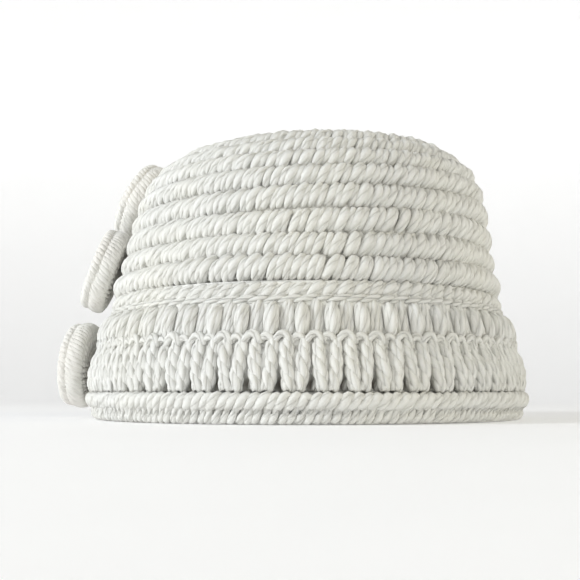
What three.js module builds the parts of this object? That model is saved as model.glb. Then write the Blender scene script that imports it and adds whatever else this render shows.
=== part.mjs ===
// Close-fitting crocheted hat: a ribbed crown, a band of puff stitches, a rolled edge
// that it stands on, and three covered buttons up one side.
// Millimetres, +Z up, the front at -Y, the buttons at -X, the floor at Z = 0.
import * as THREE from 'three';

const OVAL = 1.18; // length of each round over its width
const AXIS_X = 6.1; // the hat's axis, off the middle of the whole because the buttons stand out at -X
const FACETS = 56; // facets round the crown and the edge
const PUFF_UNITS = 56; // puff stitches round the band
const PUFF_FACETS = 2; // one crest and one valley to each puff stitch

const CROWN_ROWS = 14;
const ROW_DEPTH = 2; // groove between two crown rows
const FIRST_ROW_PROUD = 0.8; // the lowest crown row bulges over the band
const CROWN_WALL = 5; // from the crest of a row to the inside
const CROWN_INNER_ROUNDS = 9;

// The crown leans away from the buttons: how far its far shoulder is pushed out and raised,
// the height from which the whole of that shows, and the half width that it is counted on.
const LEAN_OUT = 3.5;
const LEAN_UP = 5.5;
const LEAN_WHOLE_Z = 78;
const LEAN_HALF = 70;

const BUTTON_FACETS = 18;

const CREAM = new THREE.Color(0.9, 0.87, 0.8);
const PALE_CREAM = new THREE.Color(0.93, 0.9, 0.85);
const YARN_ROUGHNESS = 0.9;

// Outline over the crests of the crown rows, from the groove above the band to the middle
// of the top: half the width, and the height.
const CROWN_LINE = [
  { half: 71.5, z: 44 },
  { half: 68, z: 58 },
  { half: 64.5, z: 72 },
  { half: 61.5, z: 81 },
  { half: 56.5, z: 88 },
  { half: 48.5, z: 94 },
  { half: 36.5, z: 97.3 },
  { half: 20, z: 99 },
  { half: 0, z: 99.4 },
];

// Section of one crown row: how far along it, and how much of the groove's depth it is sunk.
const ROW_SECTION = [
  { along: 0, sunk: 1 },
  { along: 0.3, sunk: 0 },
  { along: 0.7, sunk: 0 },
];

// Rounds of the band, up the outside and down the inside: height, half width of the hat's
// outline there, how far the round is let out from that, and the depth of the puff relief.
const BAND_ROUNDS = [
  { z: 10.3, half: 80.3, out: -2.3, puff: 0 },
  { z: 12.5, half: 80.2, out: -0.6, puff: 1.2 },
  { z: 18.5, half: 78.9, out: 0.2, puff: 1.4 },
  { z: 24, half: 77.5, out: -0.2, puff: 1.2 },
  { z: 26, half: 76.9, out: -1.4, puff: 0.3 },
  { z: 28, half: 76.4, out: 0.1, puff: 1.2 },
  { z: 31.5, half: 75.3, out: 0.1, puff: 1.4 },
  { z: 35.4, half: 74.2, out: -0.4, puff: 1.2 },
  { z: 36.8, half: 73.7, out: -1.8, puff: 0.3 },
  { z: 38.1, half: 73.3, out: -1, puff: 0.4 },
  { z: 39.4, half: 72.9, out: -2.2, puff: 0 },
  { z: 41.4, half: 72.3, out: -1.5, puff: 0.3 },
  { z: 43.7, half: 71.6, out: -3, puff: 0 },
  { z: 43.7, half: 71.6, out: -5.4, puff: 0 },
  { z: 27, half: 76.6, out: -5.8, puff: 0 },
  { z: 10.3, half: 80.3, out: -6.2, puff: 0 },
];

// Rounds of the rolled edge, down the outside, across the floor and up the inside.
const EDGE_ROUNDS = [
  { z: 10, half: 80.3, out: -2.4 },
  { z: 9.4, half: 80.4, out: -0.4 },
  { z: 7.2, half: 80.5, out: 0.1 },
  { z: 4.4, half: 80, out: -0.3 },
  { z: 3.4, half: 79.6, out: -1.2 },
  { z: 2.2, half: 79.2, out: -0.7 },
  { z: 0.7, half: 78.6, out: -0.8 },
  { z: 0, half: 78.2, out: -1.4 },
  { z: 0, half: 78.2, out: -4.2 },
  { z: 1.4, half: 79, out: -5.4 },
  { z: 5.4, half: 80.2, out: -6.3 },
  { z: 10, half: 80.3, out: -6.2 },
];

// Section of a button from the tip of its shank to the middle of its face: radius, and
// distance out from the shank's tip.
const BUTTON_SECTION = [
  { radius: 0, out: 0 },
  { radius: 2.2, out: 0.2 },
  { radius: 3.2, out: 0.7 },
  { radius: 3.4, out: 1.9 },
  { radius: 13, out: 1.9 },
  { radius: 15.4, out: 3.1 },
  { radius: 16.3, out: 5.9 },
  { radius: 16.2, out: 8.8 },
  { radius: 15.2, out: 10.9 },
  { radius: 13.2, out: 12 },
  { radius: 11.2, out: 11.5 },
  { radius: 6.5, out: 12.6 },
  { radius: 0, out: 13.1 },
];

// Where the tip of each shank meets the hat, with x counted from the hat's axis, and how the
// button's face is turned: forward is towards the front, upward is towards the top, in degrees.
const BUTTONS = [
  { name: 'button_lower', x: -78.85, y: 8, z: 19.4, forward: -8, upward: 5 },
  { name: 'button_middle', x: -69.6, y: 3, z: 53, forward: 6, upward: 20 },
  { name: 'button_upper', x: -58.75, y: 21, z: 81.8, forward: -6, upward: 28 },
];

/** One oval round: half the width of the outline there, let out by `out`, every second
 * facet sunk by `puff`. */
function ovalRound({ half, z, out, puff = 0 }, facets) {
  return Array.from({ length: facets }, (_, index) => {
    const turn = (2 * Math.PI * index) / facets;
    const reach = out - (index % 2) * puff;
    const x = AXIS_X + Math.max(half + reach, 0) * Math.cos(turn);
    const y = Math.max(OVAL * half + reach, 0) * Math.sin(turn);
    return new THREE.Vector3(x, y, z);
  });
}

/** Closed skin of quads between neighbouring rounds, the last joined to the first; a round of
 * a single point is a pole. */
function skinOf(rounds) {
  const starts = [];
  let count = 0;
  for (const round of rounds) {
    starts.push(count);
    count += round.length;
  }
  const facets = Math.max(...rounds.map((round) => round.length));
  const corner = (row, step) => starts[row] + (step % rounds[row].length);
  const faces = [];
  for (let row = 0; row < rounds.length; row += 1) {
    const next = (row + 1) % rounds.length;
    for (let step = 0; step < facets; step += 1) {
      if (rounds[row].length > 1) {
        faces.push(corner(row, step), corner(row, step + 1), corner(next, step));
      }
      if (rounds[next].length > 1) {
        faces.push(corner(row, step + 1), corner(next, step + 1), corner(next, step));
      }
    }
  }
  const geometry = new THREE.BufferGeometry();
  const places = rounds.flat().flatMap((point) => point.toArray());
  geometry.setAttribute('position', new THREE.Float32BufferAttribute(places, 3));
  geometry.setIndex(faces);
  geometry.computeVertexNormals();
  return geometry;
}

/** A round of the crown at share `share` of the way from the groove to the top's middle,
 * moved in along the outline's normal by `depth`. */
function crownRound(line, share, depth) {
  const at = line.getPointAt(share);
  const along = line.getTangentAt(share);
  const z = at.y + depth * along.x;
  if (share === 1) {
    return [new THREE.Vector3(AXIS_X, 0, z)];
  }
  return ovalRound({ half: at.x, z, out: -depth * along.y }, FACETS);
}

/** Moves a point of the crown out and up by the square of its share of the way across from the
 * buttons' side, coming on smoothly with its height. */
function lean(point) {
  const across = (1 + (point.x - AXIS_X) / LEAN_HALF) / 2;
  const share = across ** 2 * THREE.MathUtils.smoothstep(point.z, CROWN_LINE[0].z, LEAN_WHOLE_Z);
  point.x += LEAN_OUT * share;
  point.z += LEAN_UP * share;
}

function crownGeometry() {
  const line = new THREE.SplineCurve(CROWN_LINE.map(({ half, z }) => new THREE.Vector2(half, z)));
  const rounds = [];
  for (let row = 0; row < CROWN_ROWS; row += 1) {
    for (const { along, sunk } of ROW_SECTION) {
      const proud = row === 0 ? FIRST_ROW_PROUD * (1 - sunk) : 0;
      rounds.push(crownRound(line, (row + along) / CROWN_ROWS, sunk * ROW_DEPTH - proud));
    }
  }
  rounds.push(crownRound(line, 1, ROW_DEPTH));
  for (let inner = CROWN_INNER_ROUNDS; inner >= 0; inner -= 1) {
    rounds.push(crownRound(line, inner / CROWN_INNER_ROUNDS, CROWN_WALL));
  }
  const base = CROWN_LINE[0].z;
  for (const round of [rounds[0], rounds[rounds.length - 1]]) {
    round.forEach((point) => point.setZ(base));
  }
  rounds.flat().forEach(lean);
  return skinOf(rounds);
}

function buttonGeometry({ x, y, z, forward, upward }) {
  const section = BUTTON_SECTION.map(({ radius, out }) => new THREE.Vector2(radius, out));
  const geometry = new THREE.LatheGeometry(section, BUTTON_FACETS);
  const yaw = THREE.MathUtils.degToRad(forward);
  const rise = THREE.MathUtils.degToRad(upward);
  const facing = new THREE.Vector3(
    -Math.cos(rise) * Math.cos(yaw),
    -Math.cos(rise) * Math.sin(yaw),
    Math.sin(rise)
  );
  const turn = new THREE.Quaternion().setFromUnitVectors(new THREE.Vector3(0, 1, 0), facing);
  geometry.applyQuaternion(turn);
  geometry.translate(AXIS_X + x, y, z);
  return geometry;
}

function piece(name, geometry, color) {
  const material = new THREE.MeshStandardMaterial({ color, roughness: YARN_ROUGHNESS, metalness: 0 });
  const mesh = new THREE.Mesh(geometry, material);
  mesh.name = name;
  return mesh;
}

const bandRounds = BAND_ROUNDS.map((row) => ovalRound(row, PUFF_UNITS * PUFF_FACETS));
const edgeRounds = EDGE_ROUNDS.map((row) => ovalRound(row, FACETS)).reverse();

const hat = new THREE.Group();
hat.name = 'tilt_hat';
hat.add(piece('crown', crownGeometry(), CREAM));
hat.add(piece('puff_band', skinOf(bandRounds), CREAM));
hat.add(piece('rolled_edge', skinOf(edgeRounds), CREAM));
for (const button of BUTTONS) {
  hat.add(piece(button.name, buttonGeometry(button), PALE_CREAM));
}

export default hat;
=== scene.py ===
"""A close-fitting crocheted hat in thick cream yarn: ribbed crown, band of puff stitches, rolled
edge and three covered buttons up one side.

Shapes are worked out in millimetres and put into the meshes in metres. +Z is up, the front of
the hat is at -Y and the buttons are at -X. A place on the hat is a share of the way round it,
a length along its section line, and a lift off that line.
"""

import bpy
import numpy as np
from mathutils import Matrix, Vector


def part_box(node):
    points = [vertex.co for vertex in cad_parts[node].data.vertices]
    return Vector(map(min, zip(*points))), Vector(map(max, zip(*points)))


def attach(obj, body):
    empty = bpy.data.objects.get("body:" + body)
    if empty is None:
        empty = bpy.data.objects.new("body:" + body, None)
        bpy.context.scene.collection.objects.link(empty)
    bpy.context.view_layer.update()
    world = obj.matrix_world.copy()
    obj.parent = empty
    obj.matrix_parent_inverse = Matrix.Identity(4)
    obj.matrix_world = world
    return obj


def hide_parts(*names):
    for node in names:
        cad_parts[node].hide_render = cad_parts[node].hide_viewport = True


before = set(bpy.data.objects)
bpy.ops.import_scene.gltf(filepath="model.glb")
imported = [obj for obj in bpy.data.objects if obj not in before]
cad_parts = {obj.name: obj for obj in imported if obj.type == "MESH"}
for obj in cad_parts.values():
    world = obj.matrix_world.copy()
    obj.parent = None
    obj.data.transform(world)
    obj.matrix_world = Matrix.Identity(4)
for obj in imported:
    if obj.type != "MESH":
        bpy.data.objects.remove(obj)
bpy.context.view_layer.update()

MM = 0.001
OVAL = 1.18  # length of each round over its width
STRAND_SIDES = 8
chance = np.random.default_rng(seed=27)

# the hat's own axis, off the middle of the whole because the buttons stand out at -X
edge_low, edge_high = (np.array(corner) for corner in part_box("rolled_edge"))
AXIS = np.array([(edge_low[0] + edge_high[0]) / 2 / MM, 0.0, 0.0])


# Section lines

CROWN_BASE = 44.0
# the crown leans away from the buttons: how far out and up its far shoulder goes, the height from
# which the whole of that shows, and the half width that it is counted on
CROWN_LEAN = (3.5, 5.5)
LEAN_WHOLE_Z = 78.0
LEAN_HALF = 70.0

# each place along a line: half width of the round, how far it is let out, height
CROWN_LINE = [
    (71.5, 0, 44), (68, 0, 58), (64.5, 0, 72), (61.5, 0, 81), (56.5, 0, 88),
    (48.5, 0, 94), (36.5, 0, 97.3), (20, 0, 99), (0, 0, 99.4),
]
BAND_LINE = [
    (80.3, 0, 10.3), (79.4, 0, 16.5), (78, 0, 22), (76.4, 0, 28), (74.7, 0, 33.6),
    (72.9, 0, 39.5), (71.6, 0, 43.7),
]
EDGE_LINE = [
    (80.3, -6.2, 10), (80.2, -6.3, 5.4), (79, -5.4, 1.4), (78.2, -4.2, 0), (78.2, -1.4, 0),
    (78.6, -0.8, 0.7), (79.2, -0.7, 2.2), (79.6, -1.2, 3.4), (80, -0.3, 4.4), (80.5, 0.1, 7.2),
    (80.4, -0.4, 9.4), (80.3, -2.4, 10),
]
BUTTON_LINE = [
    (0, 0, 0), (2.2, 0, 0.2), (3.2, 0, 0.7), (3.5, 0, 1.5), (4.2, 0, 1.9), (8.5, 0, 1.9),
    (13, 0, 1.9), (15.4, 0, 3.1), (16.3, 0, 5.9), (16.2, 0, 8.8), (15.2, 0, 10.9),
    (13.2, 0, 12), (11.2, 0, 11.5), (6.5, 0, 12.6), (0, 0, 13.1),
]


def unit(vectors):
    """Each vector over its own length."""
    return vectors / np.linalg.norm(vectors, axis=-1, keepdims=True)


def curve_through(points, samples):
    """Smooth line through the points, the end points doubled. Between neighbours b and c, with
    a before and d after them, it is half of 2b + (c - a)t + (2a - 5b + 4c - d)t^2
    + (3b - a - 3c + d)t^3."""
    points = np.asarray(points, float)
    doubled = np.concatenate([points[:1], points, points[-1:]])
    place = np.linspace(0, len(points) - 1, samples)
    left = np.minimum(place.astype(int), len(points) - 2)
    t = (place - left)[:, None]
    a, b, c, d = (doubled[left + step] for step in range(4))
    return (2 * b + (c - a) * t + (2 * a - 5 * b + 4 * c - d) * t**2
            + (3 * b - a - 3 * c + d) * t**3) / 2


class Outline:
    """A section line carried round an oval, its outside on the right of the way along it, and
    leaned to +X and up by the lengths in `lean`."""

    SAMPLES = 800

    def __init__(self, points, oval=OVAL, lean=(0.0, 0.0)):
        half, out, z = curve_through(points, self.SAMPLES).T
        flat = np.stack([half + out, z], -1)
        step = np.linalg.norm(np.diff(flat, axis=0), axis=-1)
        ahead = unit(np.gradient(flat, axis=0))
        self.oval = oval
        self.lean = lean
        self.run = np.concatenate([[0.0], np.cumsum(step)])
        self.length = self.run[-1]
        self.columns = (half, out, z, ahead[:, 1], -ahead[:, 0])
        self.turns = np.linspace(0, 2 * np.pi, self.SAMPLES)
        pace = np.hypot(np.sin(self.turns), oval * np.cos(self.turns))
        way = np.concatenate([[0.0], np.cumsum((pace[1:] + pace[:-1]) / 2 * self.turns[1])])
        self.shares = way / way[-1]
        self.unit_girth = way[-1]

    def at_height(self, z):
        """Length along the line where it reaches a height, for a line that only rises."""
        return np.interp(z, self.columns[2], self.run)

    def girth(self, along):
        """Length of the round at a place along the line: the oval's girth for its half width,
        and a circle's for what it is let out."""
        half, out = (np.interp(along, self.run, column) for column in self.columns[:2])
        return self.unit_girth * half + 2 * np.pi * out

    def place(self, share, along, lift):
        """Points and outward normals. At turn w the oval round is ((half + out) cos w,
        (oval half + out) sin w, z), moved by the lift along the normal, which is the section
        line's normal turned to the oval's own (oval cos w, sin w) made a unit. The turn is
        spaced so that equal shares are equal lengths of the round. The points are leaned."""
        share, along, lift = np.broadcast_arrays(share, along, lift)
        half, out, z, outward, upward = (
            np.interp(along, self.run, column) for column in self.columns)
        turn = np.interp(share % 1, self.shares, self.turns)
        x, y = np.cos(turn), np.sin(turn)
        size = np.hypot(self.oval * x, y)
        normal = np.stack([outward * self.oval * x / size, outward * y / size, upward], -1)
        flat = np.stack([(half + out) * x, (self.oval * half + out) * y, z], -1)
        return self.leaned(flat + lift[..., None] * normal), normal

    def leaned(self, points):
        """Points moved by lean times s, to +X and up. With a = (1 + x / LEAN_HALF) / 2 and t the
        share of the way from the crown's base to LEAN_WHOLE_Z, s is a^2 (3 t^2 - 2 t^3)."""
        across = (1 + points[..., 0] / LEAN_HALF) / 2
        t = np.clip((points[..., 2] - CROWN_BASE) / (LEAN_WHOLE_Z - CROWN_BASE), 0, 1)
        share = across**2 * t**2 * (3 - 2 * t)
        out, up = self.lean
        return points + share[..., None] * np.array([out, 0.0, up])


# Skins and meshes

class Skin:
    """Strands or shells of one make: points of count x rings x sides, the length run along
    each at every ring, and a tone for every point. A wrapped skin joins its last ring to its
    first, and the others are closed by a cap at each end that `caps` asks for."""

    def __init__(self, points, run, tone, wrapped=False, caps=(True, True)):
        self.points = points
        self.run = run
        self.tone = np.broadcast_to(tone, points.shape[:3])
        self.wrapped = wrapped
        self.caps = caps

    def faces(self):
        """Corner numbers, face sizes and strand coordinates. Each quad goes round the strand on
        its lower ring and back on its upper one; a start cap runs backwards."""
        count, rings, sides = self.points.shape[:3]
        steps = rings if self.wrapped else rings - 1
        strand, ring, side = np.meshgrid(
            np.arange(count), np.arange(steps), np.arange(sides), indexing="ij")
        ring = np.stack([ring, ring, ring + 1, ring + 1], -1)
        side = np.stack([side, side + 1, side + 1, side], -1)
        strand = np.broadcast_to(strand[..., None], ring.shape)
        parts = [(strand, ring, side, 4)]
        around = np.arange(sides)
        for wanted, level, order in zip(
                self.caps, (0, rings - 1), (around[::-1], around)):
            if wanted and not self.wrapped:
                shape = (count, sides)
                parts.append((np.broadcast_to(np.arange(count)[:, None], shape),
                              np.full(shape, level), np.broadcast_to(order, shape), sides))
        corners = [((n * rings + i % rings) * sides + j % sides).ravel() for n, i, j, _ in parts]
        sizes = [np.full(n.size // size, size) for n, _, _, size in parts]
        lengths = [self.run[n, i].ravel() for n, i, _, _ in parts]
        turns = [(j / sides).ravel() for _, _, j, _ in parts]
        return (np.concatenate(corners), np.concatenate(sizes),
                np.stack([np.concatenate(lengths), np.concatenate(turns)], -1))


def mesh_piece(name, skins, finish):
    """One mesh from several skins, set in metres on the hat's axis, with its strand
    coordinates as a UV map and its tones as an attribute."""
    places, corners, sizes, strands, tones = [], [], [], [], []
    first = 0
    for skin in skins:
        skin_corners, skin_sizes, skin_strands = skin.faces()
        places.append(skin.points.reshape(-1, 3))
        corners.append(skin_corners + first)
        sizes.append(skin_sizes)
        strands.append(skin_strands)
        tones.append(skin.tone.ravel())
        first += places[-1].shape[0]
    places, corners, sizes, strands, tones = (
        np.concatenate(part) for part in (places, corners, sizes, strands, tones))
    mesh = bpy.data.meshes.new(name)
    mesh.vertices.add(len(places))
    mesh.vertices.foreach_set("co", ((places + AXIS) * MM).astype(np.float32).ravel())
    mesh.loops.add(len(corners))
    mesh.loops.foreach_set("vertex_index", corners.astype(np.int32))
    mesh.polygons.add(len(sizes))
    mesh.polygons.foreach_set("loop_start", (np.cumsum(sizes) - sizes).astype(np.int32))
    mesh.polygons.foreach_set("use_smooth", np.ones(len(sizes), bool))
    mesh.update(calc_edges=True)
    mesh.uv_layers.new(name="strand").data.foreach_set("uv", strands.astype(np.float32).ravel())
    mesh.attributes.new("tone", "FLOAT", "POINT").data.foreach_set(
        "value", tones.astype(np.float32))
    mesh.materials.append(finish)
    piece = bpy.data.objects.new(name, mesh)
    bpy.context.scene.collection.objects.link(piece)
    return piece


YARN_RUN = 20.0  # longest length of yarn before a strand starts


def tubes(outline, share, along, lift, radius, tone, sides=STRAND_SIDES, floor=None):
    """Round strands along centre lines that lie on an outline. A ring of the strand is its
    centre + radius (cos w across + sin w up), where across is the outline's normal times the
    way ahead, and up is the way ahead times across. No point goes below the floor, and each
    strand's run starts anywhere along the yarn, so that neighbours' plies don't line up."""
    centre, normal = outline.place(share, along, lift)
    ahead = unit(np.gradient(centre, axis=1))
    across = unit(np.cross(normal, ahead))
    up = np.cross(ahead, across)
    turn = np.arange(sides) * (2 * np.pi / sides)
    ring = (np.cos(turn)[:, None] * across[:, :, None] + np.sin(turn)[:, None] * up[:, :, None])
    radius = np.broadcast_to(radius, centre.shape[:2])
    points = centre[:, :, None] + radius[:, :, None, None] * ring
    if floor is not None:
        points[..., 2] = np.maximum(points[..., 2], floor)
    step = np.linalg.norm(np.diff(centre, axis=1), axis=-1)
    run = np.pad(np.cumsum(step, axis=1), ((0, 0), (1, 0)))
    run = run + chance.uniform(0, YARN_RUN, (len(run), 1))
    return Skin(points, run, np.reshape(tone, (-1, 1, 1)))


def slow_waves(share, row, rows):
    """Sum over n = 2 to 6 of sin(2 pi (n share + phase)) / 2, with a phase for each row and n."""
    waves = np.arange(2, 7)
    phase = chance.uniform(0, 1, (rows, len(waves)))[row]
    return np.sin(2 * np.pi * (waves * share[:, None] + phase)).sum(1) / 2


FEWEST_STROKES = 5  # in a round
STROKE_BOW = 0.92  # at 1 a stroke's ends go straight down
STROKE_TAPER = 0.35
# how uneven strokes are: place and slant in stitches, girth and level in radii, and the row's
# wander in reaches
UNEVEN_PLACE = 0.06
UNEVEN_SLANT = 0.1
UNEVEN_GIRTH = 0.04
UNEVEN_LEVEL = 0.07
UNEVEN_TONE = 0.1
ROW_WANDER = 0.05


def strokes(outline, middles, reach, spacing, slant, radius, level, dive, tone, rings=7,
            sides=STRAND_SIDES, uneven=1.0, floor=None, shift=0.0):
    """Slanted strokes laid side by side, one row at each of `middles`. With t from -1 to 1
    along a stroke it lies at middle + reach t / 2 along the outline, shift + slant t / 2
    stitches round from its own place, and at level - dive (1 - root(1 - bow t^2)) off the
    outline; its radius is radius (1 - taper t^2). Places, slants, levels, radii and tones are a
    little uneven, and the row wanders up and down by a sum of slow sines."""
    middles, reach, level, radius = (
        np.broadcast_to(np.asarray(value, float), np.shape(middles))
        for value in (middles, reach, level, radius))
    counts = np.round(outline.girth(middles) / spacing)
    counts = np.maximum(counts, FEWEST_STROKES).astype(int)
    row = np.repeat(np.arange(len(counts)), counts)
    order = np.arange(row.size) - np.repeat(np.cumsum(counts) - counts, counts)
    pitch = 1 / counts[row]
    drift, height, girth, skew, hue = uneven * chance.normal(0, 1, (5, row.size))
    share = (order + shift + UNEVEN_PLACE * drift) * pitch
    slant = slant + UNEVEN_SLANT * skew[:, None]
    wander = ROW_WANDER * uneven * reach[row] * slow_waves(share, row, len(counts))
    t = np.linspace(-1, 1, rings)
    fade = 1 - np.sqrt(1 - STROKE_BOW * t**2)
    thick = (radius[row] * (1 + UNEVEN_GIRTH * girth))[:, None] * (1 - STROKE_TAPER * t**2)
    return tubes(
        outline,
        share[:, None] + slant / 2 * t * pitch[:, None],
        (middles[row] + wander)[:, None] + reach[row][:, None] / 2 * t,
        (level[row] + UNEVEN_LEVEL * radius[row] * height)[:, None] - dive * fade,
        thick, tone + UNEVEN_TONE * hue, sides, floor)


def shell(outline, path, sides, tone, relief=0.0, wrapped=False, floor=None):
    """A skin all the way round the hat through a path of (along, lift) places, with a relief for
    each place and side added to the lift, and no point below the floor."""
    along, lift = np.asarray(path, float).T[..., None]
    points, _ = outline.place(np.arange(sides)[None] / sides, along, lift + relief)
    if floor is not None:
        points[..., 2] = np.maximum(points[..., 2], floor)
    run = np.arange(len(points) + 1, dtype=float)[None]
    return Skin(points[None], run, tone, wrapped=wrapped)


def there_and_back(low, high, inside, outside, rings):
    """Path of a shell: down the inside from high to low, and up the outside again."""
    rise = np.linspace(low, high, rings)
    return np.concatenate([np.stack([rise[::-1], np.full(rings, inside)], -1),
                           np.stack([rise, np.full(rings, outside)], -1)])


# Finishes

class Value:
    """A socket of a finish's nodes; arithmetic on it adds Math nodes."""

    def __init__(self, finish, socket):
        self.finish = finish
        self.socket = socket

    def math(self, operation, *others):
        """A Math node on this value and the others."""
        return self.finish.math(operation, self, *others)

    def __add__(self, other):
        return self.math("ADD", other)

    __radd__ = __add__

    def __mul__(self, other):
        return self.math("MULTIPLY", other)

    __rmul__ = __mul__

    def __sub__(self, other):
        return self.math("SUBTRACT", other)

    def __rsub__(self, other):
        return self.finish.math("SUBTRACT", other, self)

    def __truediv__(self, other):
        return self.math("DIVIDE", other)

    def __pow__(self, other):
        return self.math("POWER", other)


class Finish:
    """A material's nodes, added one at a time."""

    def __init__(self, name):
        self.material = bpy.data.materials.new(name)
        self.material.use_nodes = True
        self.nodes = self.material.node_tree.nodes
        self.nodes.clear()

    def node(self, kind, settings=(), sockets=()):
        """A node of a type; its settings go first, then a value or a link for each socket."""
        node = self.nodes.new(kind)
        for name, setting in dict(settings).items():
            setattr(node, name, setting)
        for name, value in dict(sockets).items():
            socket = node.inputs[name]
            if isinstance(value, Value):
                value = value.socket
            if isinstance(value, bpy.types.NodeSocket):
                self.material.node_tree.links.new(value, socket)
            else:
                socket.default_value = value
        return node

    def value(self, kind, output, settings=(), sockets=()):
        """One output of a new node."""
        return Value(self, self.node(kind, settings, sockets).outputs[output])

    def math(self, operation, *values):
        """A Math node on values and numbers."""
        return self.value("ShaderNodeMath", 0, {"operation": operation}, enumerate(values))

    def noise(self, vector, scale, detail):
        """Noise from 0 to 1 at a place."""
        return self.value("ShaderNodeTexNoise", "Fac", {}, {
            "Vector": vector, "Scale": scale, "Detail": detail, "Roughness": 0.6})

    def vector(self, x, y, z):
        """A place from three values."""
        return self.value("ShaderNodeCombineXYZ", 0, {}, {"X": x, "Y": y, "Z": z})

    def blend(self, share, low, high):
        """The colour low + share (high - low), with the share held between 0 and 1."""
        node = self.node("ShaderNodeMix", {"data_type": "RGBA", "clamp_factor": True},
                         {"Factor": share})
        for place, colour in ((6, low), (7, high)):
            if isinstance(colour, Value):
                self.material.node_tree.links.new(colour.socket, node.inputs[place])
            else:
                node.inputs[place].default_value = colour
        return Value(self, node.outputs[2])


# painted shade: the dark of a deep pit, blended in where a strand's tone is below 0
PIT_PAINTED_SHADE = (0.2, 0.18, 0.15, 1)
# fibres: how fast they change along a ply, across the plies, and from one strand to the next
GRAIN_ALONG, GRAIN_ACROSS, GRAIN_BETWEEN = 0.3, 2.6, 60.0
LINT_SCALE = 2600.0
PATCH_SCALE = 28.0


def yarn(name, shade, light, warm, plies, lay, relief):
    """Plied cotton yarn. A ply shows where |sin pi (plies v - u / lay)| is high, with u the
    length along the strand and v the share of the way round it; fibres are noise drawn out
    along the plies, and lint is fine noise. The colour goes from painted shade in the furrows
    to light on the plies, patches lean towards warm, and a tone below 0 goes towards the
    painted shade of a deep pit. The plies, fibres and lint also stand out by up to the relief,
    in millimetres."""
    finish = Finish(name)
    strand = finish.value("ShaderNodeUVMap", 0, {"uv_map": "strand"})
    split = finish.node("ShaderNodeSeparateXYZ", {}, {"Vector": strand})
    along, around = (Value(finish, split.outputs[axis]) for axis in ("X", "Y"))
    tone = finish.value("ShaderNodeAttribute", "Fac", {"attribute_name": "tone"})
    spot = finish.value("ShaderNodeTexCoord", "Object")
    lay_place = around * plies - along / lay
    ply = (lay_place * np.pi).math("SINE").math("ABSOLUTE")
    grain = finish.vector(along * GRAIN_ALONG, lay_place * GRAIN_ACROSS, tone * GRAIN_BETWEEN)
    fibre = finish.noise(grain, scale=1.6, detail=4.0)
    lint = finish.noise(spot, LINT_SCALE, detail=2.0)
    patch = finish.noise(spot, PATCH_SCALE, detail=2.0)
    # the furrows between plies come out darker as painted shade; the tone also carries painted
    # shade and light set on some pieces
    bright = tone * 0.5 + ply**0.5 * 0.42 + fibre * 0.6 + lint * 0.12 - 0.3
    colour = finish.blend(bright, shade, light)
    colour = finish.blend((patch - 0.42) * 1.6, colour, warm)
    # painted shade in the pits, where the tone is below 0
    colour = finish.blend(tone * -1.0, colour, PIT_PAINTED_SHADE)
    bump = finish.node("ShaderNodeBump", {}, {
        "Strength": 1.0, "Distance": relief * MM,
        "Height": ply**0.6 * 0.7 + fibre * 0.5 + lint * 0.15})
    cloth = finish.node("ShaderNodeBsdfPrincipled", {}, {
        "Base Color": colour, "Roughness": 0.78 + fibre * 0.2, "Normal": bump.outputs[0],
        "Sheen Weight": 0.25, "Sheen Roughness": 0.45, "Specular IOR Level": 0.25})
    finish.node("ShaderNodeOutputMaterial", {}, {"Surface": cloth.outputs[0]})
    return finish.material


# CREAM_SHADE is the colour of painted shade, in the ply furrows and at low tones
CREAM_SHADE = (0.60, 0.59, 0.535, 1)
CREAM_LIGHT = (0.87, 0.87, 0.84, 1)
CREAM_WARM = (0.83, 0.815, 0.735, 1)
# the buttons' patches go towards a pinkish warm: partly warm tone of the thread, partly a painted
# reflection of warm bounce light, laid on in random patches
BUTTON_LIGHT = (0.88, 0.87, 0.83, 1)
BUTTON_WARM_AND_BOUNCE = (0.85, 0.79, 0.73, 1)
crown_yarn = yarn(
    "crown_yarn", CREAM_SHADE, CREAM_LIGHT, CREAM_WARM, plies=3, lay=6.5, relief=0.7)
band_yarn = yarn(
    "band_yarn", CREAM_SHADE, CREAM_LIGHT, CREAM_WARM, plies=3, lay=6.0, relief=0.7)
edge_yarn = yarn(
    "edge_yarn", CREAM_SHADE, CREAM_LIGHT, CREAM_WARM, plies=3, lay=5.5, relief=0.6)
button_yarn = yarn(
    "button_yarn", CREAM_SHADE, BUTTON_LIGHT, BUTTON_WARM_AND_BOUNCE, plies=2, lay=4.5, relief=0.3)


def knit(name, skins, finish, slot, *nodes):
    """A piece of the hat, hiding the solids that it stands for; its slot is not used."""
    piece = mesh_piece(name, skins, finish)
    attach(piece, "root")
    if nodes:
        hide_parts(*nodes)


# Crown

crown = Outline(CROWN_LINE, lean=CROWN_LEAN)
CROWN_ROWS = 14
CROWN_STITCH = 5.0
FIRST_ROW_PROUD = 0.8  # the lowest row bulges over the band
row_height = crown.length / CROWN_ROWS
row_middles = (np.arange(CROWN_ROWS) + 0.5) * row_height
proud = np.where(np.arange(CROWN_ROWS) == 0, FIRST_ROW_PROUD, 0.0)

knit("crown_stitches",
     [strokes(crown, row_middles, reach=1.03 * row_height, spacing=CROWN_STITCH, slant=0.85,
              radius=1.75, level=proud - 1.65, dive=4.4, tone=0.57)],
     crown_yarn, "crown_yarn")
knit("crown_second_legs",
     [strokes(crown, row_middles, reach=row_height, spacing=CROWN_STITCH, slant=0.62,
              radius=1.55, level=proud - 1.8, dive=4.2, tone=0.52, shift=0.46)],
     crown_yarn, "crown_yarn")
crown_wall = there_and_back(
    low=0.0, high=0.996 * crown.length, inside=-4.5, outside=-3.3, rings=70)
knit("crown_backing",
     [shell(crown, crown_wall, sides=160, floor=CROWN_BASE, tone=0.5)],
     crown_yarn, "crown_yarn", "crown")
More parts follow.
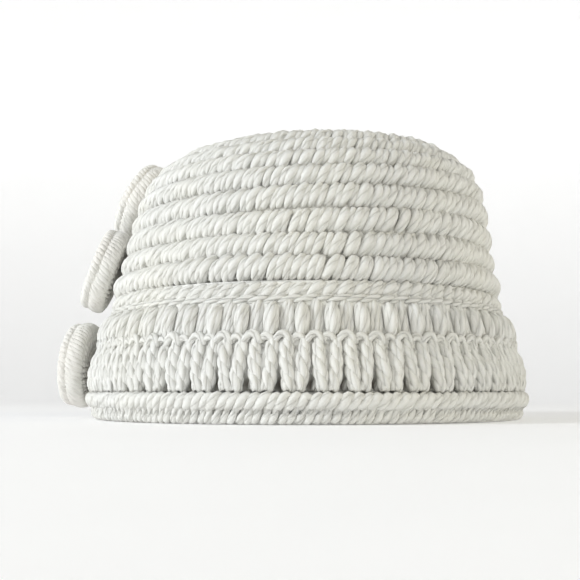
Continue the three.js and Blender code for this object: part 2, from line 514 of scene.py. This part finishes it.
# their lower tone is painted shade inside the crown
knit("crown_inside_stitches",
     [strokes(crown, row_middles[:-1], reach=2.6, spacing=3.5, slant=1.7, radius=1.0,
              level=-4.3, dive=-1.1, rings=5, sides=6, tone=0.4)],
     crown_yarn, "crown_yarn")


# Band of puff stitches

band = Outline(BAND_LINE)
PUFF_UNITS = 56
unit_share = (np.arange(PUFF_UNITS) + 0.5) / PUFF_UNITS
# how uneven the strands of the units are: place and rise in millimetres, girth in radii
UNIT_DRIFT = 0.15
UNIT_RISE = 0.12
UNIT_GIRTH = 0.05


def posts(heights, offsets, levels, dive, radius, twist=None, apart=1.0, taper=0.25, rings=9,
          tone=0.55):
    """Strands that are the same in every puff unit, but a little uneven. Heights, and offsets
    round the hat from the unit's middle, are given in millimetres for the start s, middle m and
    end e of each strand, and go through them on a parabola in t from -1 to 1:
    m + (e - s) t / 2 + ((e + s) / 2 - m) t^2. The strand lies at its level - dive |t|^3 off the
    outline, and its radius is radius (1 - taper t^2). A twist of (start, turns) winds it round
    its own post to start + turns t, at apart (1 - 2 taper t^2) from the post's middle."""
    t = np.linspace(-1, 1, rings)
    start, middle, end = np.moveaxis(np.array([heights, offsets], float), -1, 0)[..., None]
    height, offset = middle + (end - start) / 2 * t + ((end + start) / 2 - middle) * t**2
    lift = np.array(levels, float)[:, None] - dive * np.abs(t)**3
    if twist is not None:
        first, turns = np.array(twist, float).T[..., None]
        reach = apart * (1 - 2 * taper * t**2)
        offset = offset + reach * np.cos(2 * np.pi * (first + turns * t))
        lift = lift + reach * np.sin(2 * np.pi * (first + turns * t))
    along = band.at_height(height)
    shape = (PUFF_UNITS, *height.shape)
    drift, rise, girth, hue = chance.normal(0, 1, (4, *shape[:2], 1))
    girths = band.girth(along)
    share = unit_share[:, None, None] + (offset + UNIT_DRIFT * drift) / girths
    thick = radius * (1 + UNIT_GIRTH * girth) * (1 - taper * t**2)
    share, along, lift, thick = (
        np.broadcast_to(values, shape).reshape(-1, rings)
        for values in (share, along, lift + UNIT_RISE * rise, thick))
    return tubes(band, share, along, lift, thick, tone + UNEVEN_TONE * hue.ravel())


# a leg is three strands wound round each other; each unit has two legs, closer at their feet
LEG_TURNS = 0.65  # from the middle of a leg to its end
winds = [(start, LEG_TURNS) for start in (0.0, 0.33, 0.67)]
legs = posts(
    heights=[(10.2, 17.8, 25.8)] * 6,
    offsets=[(-1.6, -2.4, -2.9)] * 3 + [(1.6, 2.4, 2.9)] * 3,
    levels=[-2.0] * 6, dive=0.9, radius=1.5, twist=winds * 2, taper=0.15, rings=17, tone=0.68)
hearts = posts(
    heights=[(11.0, 17.0, 23.0)], offsets=[(0.0, 0.0, 0.0)],
    levels=[-2.7], dive=0.6, radius=1.3, rings=7, tone=0.7)
arches = posts(
    heights=[(24.0, 27.0, 24.0), (24.6, 26.4, 24.6)],
    offsets=[(3.0, 5.9, 8.8), (-1.4, 1.0, 3.4)],
    levels=[-1.0, -1.5], dive=0.8, radius=1.25, rings=7)
puffs = posts(
    heights=[(26.4, 31.5, 36.6)] * 3,
    offsets=[(1.6, 0.9, 1.6), (1.9, 1.9, 1.9), (2.2, 2.9, 2.2)],
    levels=[-1.1, -0.3, -1.1], dive=2.6, radius=1.45, tone=0.65)
slim_puffs = posts(
    heights=[(26.4, 31.8, 37.6)] * 3,
    offsets=[(-3.6, -4.1, -3.6), (-2.8, -2.8, -2.8), (-2.0, -1.5, -2.0)],
    levels=[-2.5, -2.1, -2.5], dive=0.5, radius=1.2, taper=0.15, tone=0.65)
knit("band_legs", [legs, hearts, arches], band_yarn, "band_yarn")
knit("band_puffs", [puffs, slim_puffs], band_yarn, "band_yarn")

thin_ridge, strip = band.at_height(np.array([[38.1], [41.2]]))
BAND_STITCH = 4.9
knit("band_chain",
     [strokes(band, thin_ridge, reach=2.2, spacing=5.1, slant=1.5, radius=1.0, level=-2.1,
              dive=1.0, tone=0.5),
      strokes(band, strip, reach=4.8, spacing=BAND_STITCH, slant=0.95, radius=1.65, level=-2.4,
              dive=1.5, tone=0.52),
      strokes(band, strip, reach=4.4, spacing=BAND_STITCH, slant=0.95, radius=1.25, level=-2.8,
              dive=1.2, tone=0.48, shift=0.5)],
     band_yarn, "band_yarn")

BAND_INSIDE, BAND_OUTSIDE = -5.9, -2.3
UNIT_SIDES = 8  # sides of the wall to a puff unit
# the pits' middle and spread along the band's line, their depth, and the tone lost at the bottom
# as painted shade
PIT_MIDDLE = 1.8
PIT_SPREAD = 3.0
PIT_DEPTH = 2.6
PIT_SHADE = 2.1


def pits(share, along):
    """How deep the pits between the feet of the legs are, from 0 to 1: deepest half way between
    two units, by the cube of a cosine, and low on the band, by a bell curve."""
    between = np.abs(np.cos(np.pi * PUFF_UNITS * share))**3
    return between * np.exp(-((along - PIT_MIDDLE) / PIT_SPREAD)**2)


def band_backing():
    """The band's wall, sunk on the outside in the pits, with painted shade in them; its high tone
    elsewhere is painted light in the gaps between the strands.
    """
    path = there_and_back(0.0, band.length, BAND_INSIDE, BAND_OUTSIDE, rings=40)
    sides = PUFF_UNITS * UNIT_SIDES
    outside = path[:, 1:] > BAND_INSIDE
    deep = pits(np.arange(sides)[None] / sides, path[:, :1]) * outside
    # a tone of 1 is painted light in the gaps between strands; the tone lost in the pits is
    # painted shade
    return shell(band, path, sides, tone=1.0 - PIT_SHADE * deep, relief=-PIT_DEPTH * deep,
                 wrapped=True)


knit("band_backing", [band_backing()], band_yarn, "band_yarn", "puff_band")
inside_middles = band.at_height(np.array([18.6, 32.0, 38.8, 42.0]))
# their lower tone is painted shade inside the band
knit("band_inside_stitches",
     [strokes(band, inside_middles, reach=[17.5, 11.0, 4.0, 4.0], spacing=BAND_STITCH, slant=0.5,
              radius=1.5, level=-5.3, dive=-1.0, sides=6, tone=0.4)],
     band_yarn, "band_yarn")


# Rolled edge

# rows are at lengths along the edge's line, which goes down the inside and up the outside
edge = Outline(EDGE_LINE)
FLOOR = 0.0
knit("edge_strands",
     [strokes(edge, [21.6], reach=9.6, spacing=3.05, slant=1.7, radius=1.7, level=-1.65, dive=0.9,
              rings=9, tone=0.55, floor=FLOOR),
      strokes(edge, [15.2], reach=6.2, spacing=2.6, slant=1.1, radius=1.3, level=-1.15, dive=0.7,
              tone=0.5, floor=FLOOR)],
     edge_yarn, "edge_yarn")
# the hem strands' lower tone is painted shade inside the edge
knit("edge_hem_strands",
     [strokes(edge, [2.4, 6.8, 11.0], reach=[5.2, 5.0, 4.6], spacing=3.2, slant=1.3, radius=1.2,
              level=-1.05, dive=0.7, rings=6, sides=6, tone=0.45, floor=FLOOR)],
     edge_yarn, "edge_yarn")
CORE_SUNK = -1.5
core_along = np.linspace(0, edge.length, 44)
core_path = np.stack([core_along, np.full_like(core_along, CORE_SUNK)], -1)
# the core's low tone is painted shade where it shows between the strands, as in the crease
knit("edge_core",
     [shell(edge, core_path, sides=160, wrapped=True, floor=FLOOR, tone=0.35)],
     edge_yarn, "edge_yarn", "rolled_edge")


# Covered buttons

button = Outline(BUTTON_LINE, oval=1.0)
# where the shank's tip meets the hat, x counted from the hat's axis; forward and upward degrees
BUTTONS = {
    "button_lower": ((-78.85, 8, 19.4), -8, 5),
    "button_middle": ((-69.6, 3, 53), 6, 20),
    "button_upper": ((-58.75, 21, 81.8), -6, 28),
}


def turned(skin, tip, forward, upward):
    """A skin about +Z stood on a tip with its axis along (-cos up cos forward,
    -cos up sin forward, sin up)."""
    forward, upward = np.radians([forward, upward])
    facing = np.array([-np.cos(upward) * np.cos(forward), -np.cos(upward) * np.sin(forward),
                       np.sin(upward)])
    side = unit(np.cross([0.0, 0.0, 1.0], facing))
    skin.points = skin.points @ np.stack([side, np.cross(facing, side), facing]) + tip
    return skin


def button_skins():
    """The core is sunk a strand's depth under the section, coming on after the shank; rows of
    fine stitches go over the back, one row of close strokes over the side and one round the lip,
    and rows of fine stitches over the face."""
    depth, shank, slope = 0.9, 4.5, 2.5
    along = np.linspace(0.02, 0.995, 60) * button.length
    sunk = -depth * np.clip((along - shank) / slope, 0, 1)
    # the core's low tone is painted shade where it shows between the stitches
    core = shell(button, np.stack([along, sunk], -1), sides=48, tone=0.2)
    fine = {"reach": 3.2, "spacing": 2.1, "slant": 0.9, "radius": 0.95, "level": -0.85,
            "rings": 5, "sides": 6}
    back = strokes(button, [7.4, 9.8, 12.2], dive=0.5, tone=0.5, **fine)
    side = strokes(button, [17.7], reach=9.6, spacing=1.7, slant=2.4, radius=1.4, level=-1.3,
                   dive=0.8, rings=9, tone=0.6, uneven=0.6)
    lip = strokes(button, [25.5], reach=6.0, spacing=1.9, slant=1.5, radius=1.3, level=-1.15,
                  dive=0.9, rings=9, tone=0.65, uneven=0.6)
    face = strokes(button, np.arange(30.0, 39.8, 2.4), dive=0.7, tone=0.55, **fine)
    return core, back, side, lip, face


for button_name, (tip, forward, upward) in BUTTONS.items():
    skins = [turned(skin, np.array(tip), forward, upward) for skin in button_skins()]
    knit(button_name + "_core", skins[:1], button_yarn, "button_yarn", button_name)
    knit(button_name + "_stitches", skins[1:], button_yarn, "button_yarn")


# Studio

def studio_floor():
    """A pale round floor that bends up into a wall, in metres: flat for the length `flat`, then
    a quarter circle of radius `bend`, and upright from there. It lies a hair under the hat."""
    flat, bend, wall, under = 1.2, 0.5, 1.4, 0.0001
    angle = np.linspace(np.pi / 2, 0, 16)
    inward = np.linspace(flat, 0.01, 12)[1:]
    radius = np.concatenate([[flat + bend], flat + bend * np.sin(angle), inward])
    height = np.concatenate([[wall], bend - bend * np.cos(angle), np.zeros(len(inward))]) - under
    sides = 96
    turn = np.arange(sides) * (2 * np.pi / sides)
    points = np.stack(np.broadcast_arrays(
        radius[:, None] * np.cos(turn), radius[:, None] * np.sin(turn), height[:, None]), -1)
    return Skin(points[None] / MM, np.arange(len(radius) + 1, dtype=float)[None], 0.5,
                caps=(False, True))


def floor_finish():
    """Matt off-white paper with a faint mottle, lit a little from within towards the top."""
    finish = Finish("studio_floor")
    spot = finish.value("ShaderNodeTexCoord", "Object")
    mottle = finish.noise(spot, scale=40.0, detail=3.0)
    colour = finish.blend(mottle, (0.86, 0.86, 0.86, 1), (0.9, 0.9, 0.9, 1))
    height = finish.node("ShaderNodeSeparateXYZ", {}, {"Vector": spot})
    glow = finish.blend(Value(finish, height.outputs["Z"]) * 2.0, (0.2, 0.2, 0.2, 1),
                        (0.34, 0.34, 0.34, 1))
    paper = finish.node("ShaderNodeBsdfPrincipled", {}, {
        "Base Color": colour, "Roughness": 0.8, "Specular IOR Level": 0.2,
        "Emission Color": glow, "Emission Strength": 1.0})
    finish.node("ShaderNodeOutputMaterial", {}, {"Surface": paper.outputs[0]})
    return finish.material


mesh_piece("studio_floor", [studio_floor()], floor_finish())


def aimed(name, data, place, target):
    """An object at a place, its -Z towards a target and its Y as near up as can be."""
    back = unit(np.subtract(place, target))
    right = unit(np.cross([0.0, 0.0, 1.0], back))
    item = bpy.data.objects.new(name, data)
    matrix = np.eye(4)
    matrix[:3] = np.stack([right, np.cross(back, right), back, place], -1)
    item.matrix_world = Matrix(matrix.tolist())
    bpy.context.scene.collection.objects.link(item)
    return item


HAT_MIDDLE = (0.0, 0.0, 0.05)


def soft_light(name, place, size, watts, colour):
    """A large square light aimed at the hat."""
    lamp = bpy.data.lights.new(name, "AREA")
    lamp.size = size
    lamp.energy = watts
    lamp.color = colour
    aimed(name, lamp, place, HAT_MIDDLE)


soft_light("key_light", (-0.97, -0.42, 0.46), size=0.35, watts=7.0, colour=(0.925, 0.962, 1.0))
soft_light("fill_light", (0.95, -0.5, 0.62), size=0.7, watts=2.2, colour=(1.0, 0.91, 0.6))

world = bpy.data.worlds.new("studio")
world.use_nodes = True
background = world.node_tree.nodes["Background"]
background.inputs["Color"].default_value = (1.0, 1.0, 1.0, 1)
background.inputs["Strength"].default_value = 0.25
bpy.context.scene.world = world
bpy.context.scene.view_settings.view_transform = "Standard"

# in front of the hat, just above the floor and looking a little up
CAMERA_PLACE = (0.0, -0.4, 0.009)
CAMERA_TARGET = (0.0, 0.0, 0.048)
lens = bpy.data.cameras.new("camera")
lens.lens = 66.0
lens.clip_start = 0.01
bpy.context.scene.camera = aimed("camera", lens, CAMERA_PLACE, CAMERA_TARGET)
